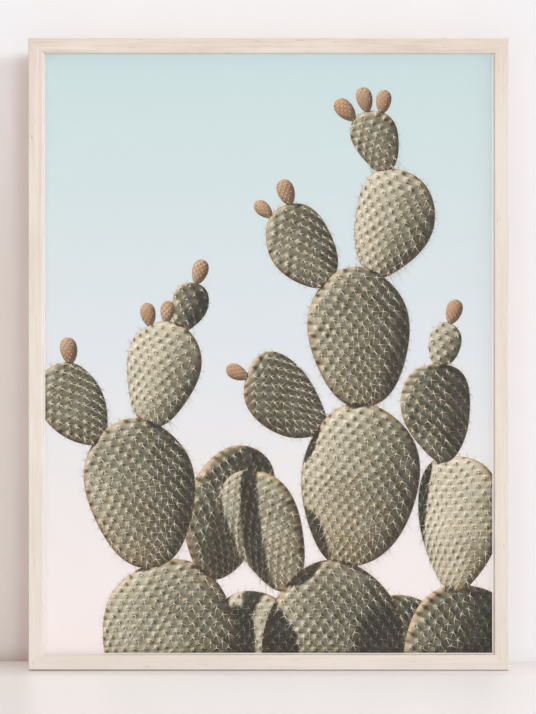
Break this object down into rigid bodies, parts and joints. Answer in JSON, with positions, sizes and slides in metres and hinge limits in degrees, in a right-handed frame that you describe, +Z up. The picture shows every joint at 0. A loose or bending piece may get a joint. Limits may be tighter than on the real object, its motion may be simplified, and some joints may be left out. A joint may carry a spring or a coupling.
{
  "type": "framed print",
  "caption": "Slim whitewashed wooden picture frame with a botanical print behind clear glazing, a backing board on turn buttons, and sawtooth hangers.",
  "frame": {"origin": "middle of the bottom rail's underside, half way through the frame's depth", "axes": "+Z up along the picture's height, -Y out of the front face, +X to the right as seen from the front"},
  "size_m": [0.481, 0.0238, 0.632],
  "materials": {
    "limed_wood": "whitewashed, matt, open grain",
    "clear_glazing": "clear polished acrylic",
    "printed_paper": "matt art paper with a pastel botanical print",
    "filler_card": "plain corrugated card",
    "backing_hardboard": "smooth hardboard",
    "zinc_steel": "bright zinc plate",
    "brassed_steel": "brass plate",
    "bumper_rubber": "clear grey, soft"
  },
  "bodies": {
    "frame": {"rail_left": "limed_wood", "rail_top": "limed_wood", "rail_right": "limed_wood", "rail_bottom": "limed_wood", "glazing": "clear_glazing", "print_sheet": "printed_paper", "filler_board": "filler_card", "backing_board": "backing_hardboard", "button_screw_left_low": "zinc_steel", "button_screw_left_high": "zinc_steel", "button_screw_top": "zinc_steel", "button_screw_right_high": "zinc_steel", "button_screw_right_low": "zinc_steel", "button_screw_bottom": "zinc_steel", "hanger_1": "brassed_steel", "hanger_2": "brassed_steel", "hanger_nail_1": "brassed_steel", "hanger_nail_2": "brassed_steel", "hanger_nail_3": "brassed_steel", "hanger_nail_4": "brassed_steel", "bumper_1": "bumper_rubber", "bumper_2": "bumper_rubber"},
    "button_left_low": {"turn_button_left_low": "zinc_steel"},
    "button_left_high": {"turn_button_left_high": "zinc_steel"},
    "button_top": {"turn_button_top": "zinc_steel"},
    "button_right_high": {"turn_button_right_high": "zinc_steel"},
    "button_right_low": {"turn_button_right_low": "zinc_steel"},
    "button_bottom": {"turn_button_bottom": "zinc_steel"}
  },
  "joints": [
    {"name": "left_low_turn", "type": "hinge", "parent": "frame", "child": "button_left_low", "pos_m": [-0.2355, 0.0109, 0.158], "axis": [0, 1, 0], "range_deg": [-90, 90]},
    {"name": "left_high_turn", "type": "hinge", "parent": "frame", "child": "button_left_high", "pos_m": [-0.2355, 0.0109, 0.474], "axis": [0, 1, 0], "range_deg": [-90, 90]},
    {"name": "top_turn", "type": "hinge", "parent": "frame", "child": "button_top", "pos_m": [0, 0.0109, 0.627], "axis": [0, 1, 0], "range_deg": [-90, 90]},
    {"name": "right_high_turn", "type": "hinge", "parent": "frame", "child": "button_right_high", "pos_m": [0.2355, 0.0109, 0.474], "axis": [0, 1, 0], "range_deg": [-90, 90]},
    {"name": "right_low_turn", "type": "hinge", "parent": "frame", "child": "button_right_low", "pos_m": [0.2355, 0.0109, 0.158], "axis": [0, 1, 0], "range_deg": [-90, 90]},
    {"name": "bottom_turn", "type": "hinge", "parent": "frame", "child": "button_bottom", "pos_m": [0, 0.0109, 0.005], "axis": [0, 1, 0], "range_deg": [-90, 90]}
  ]
}
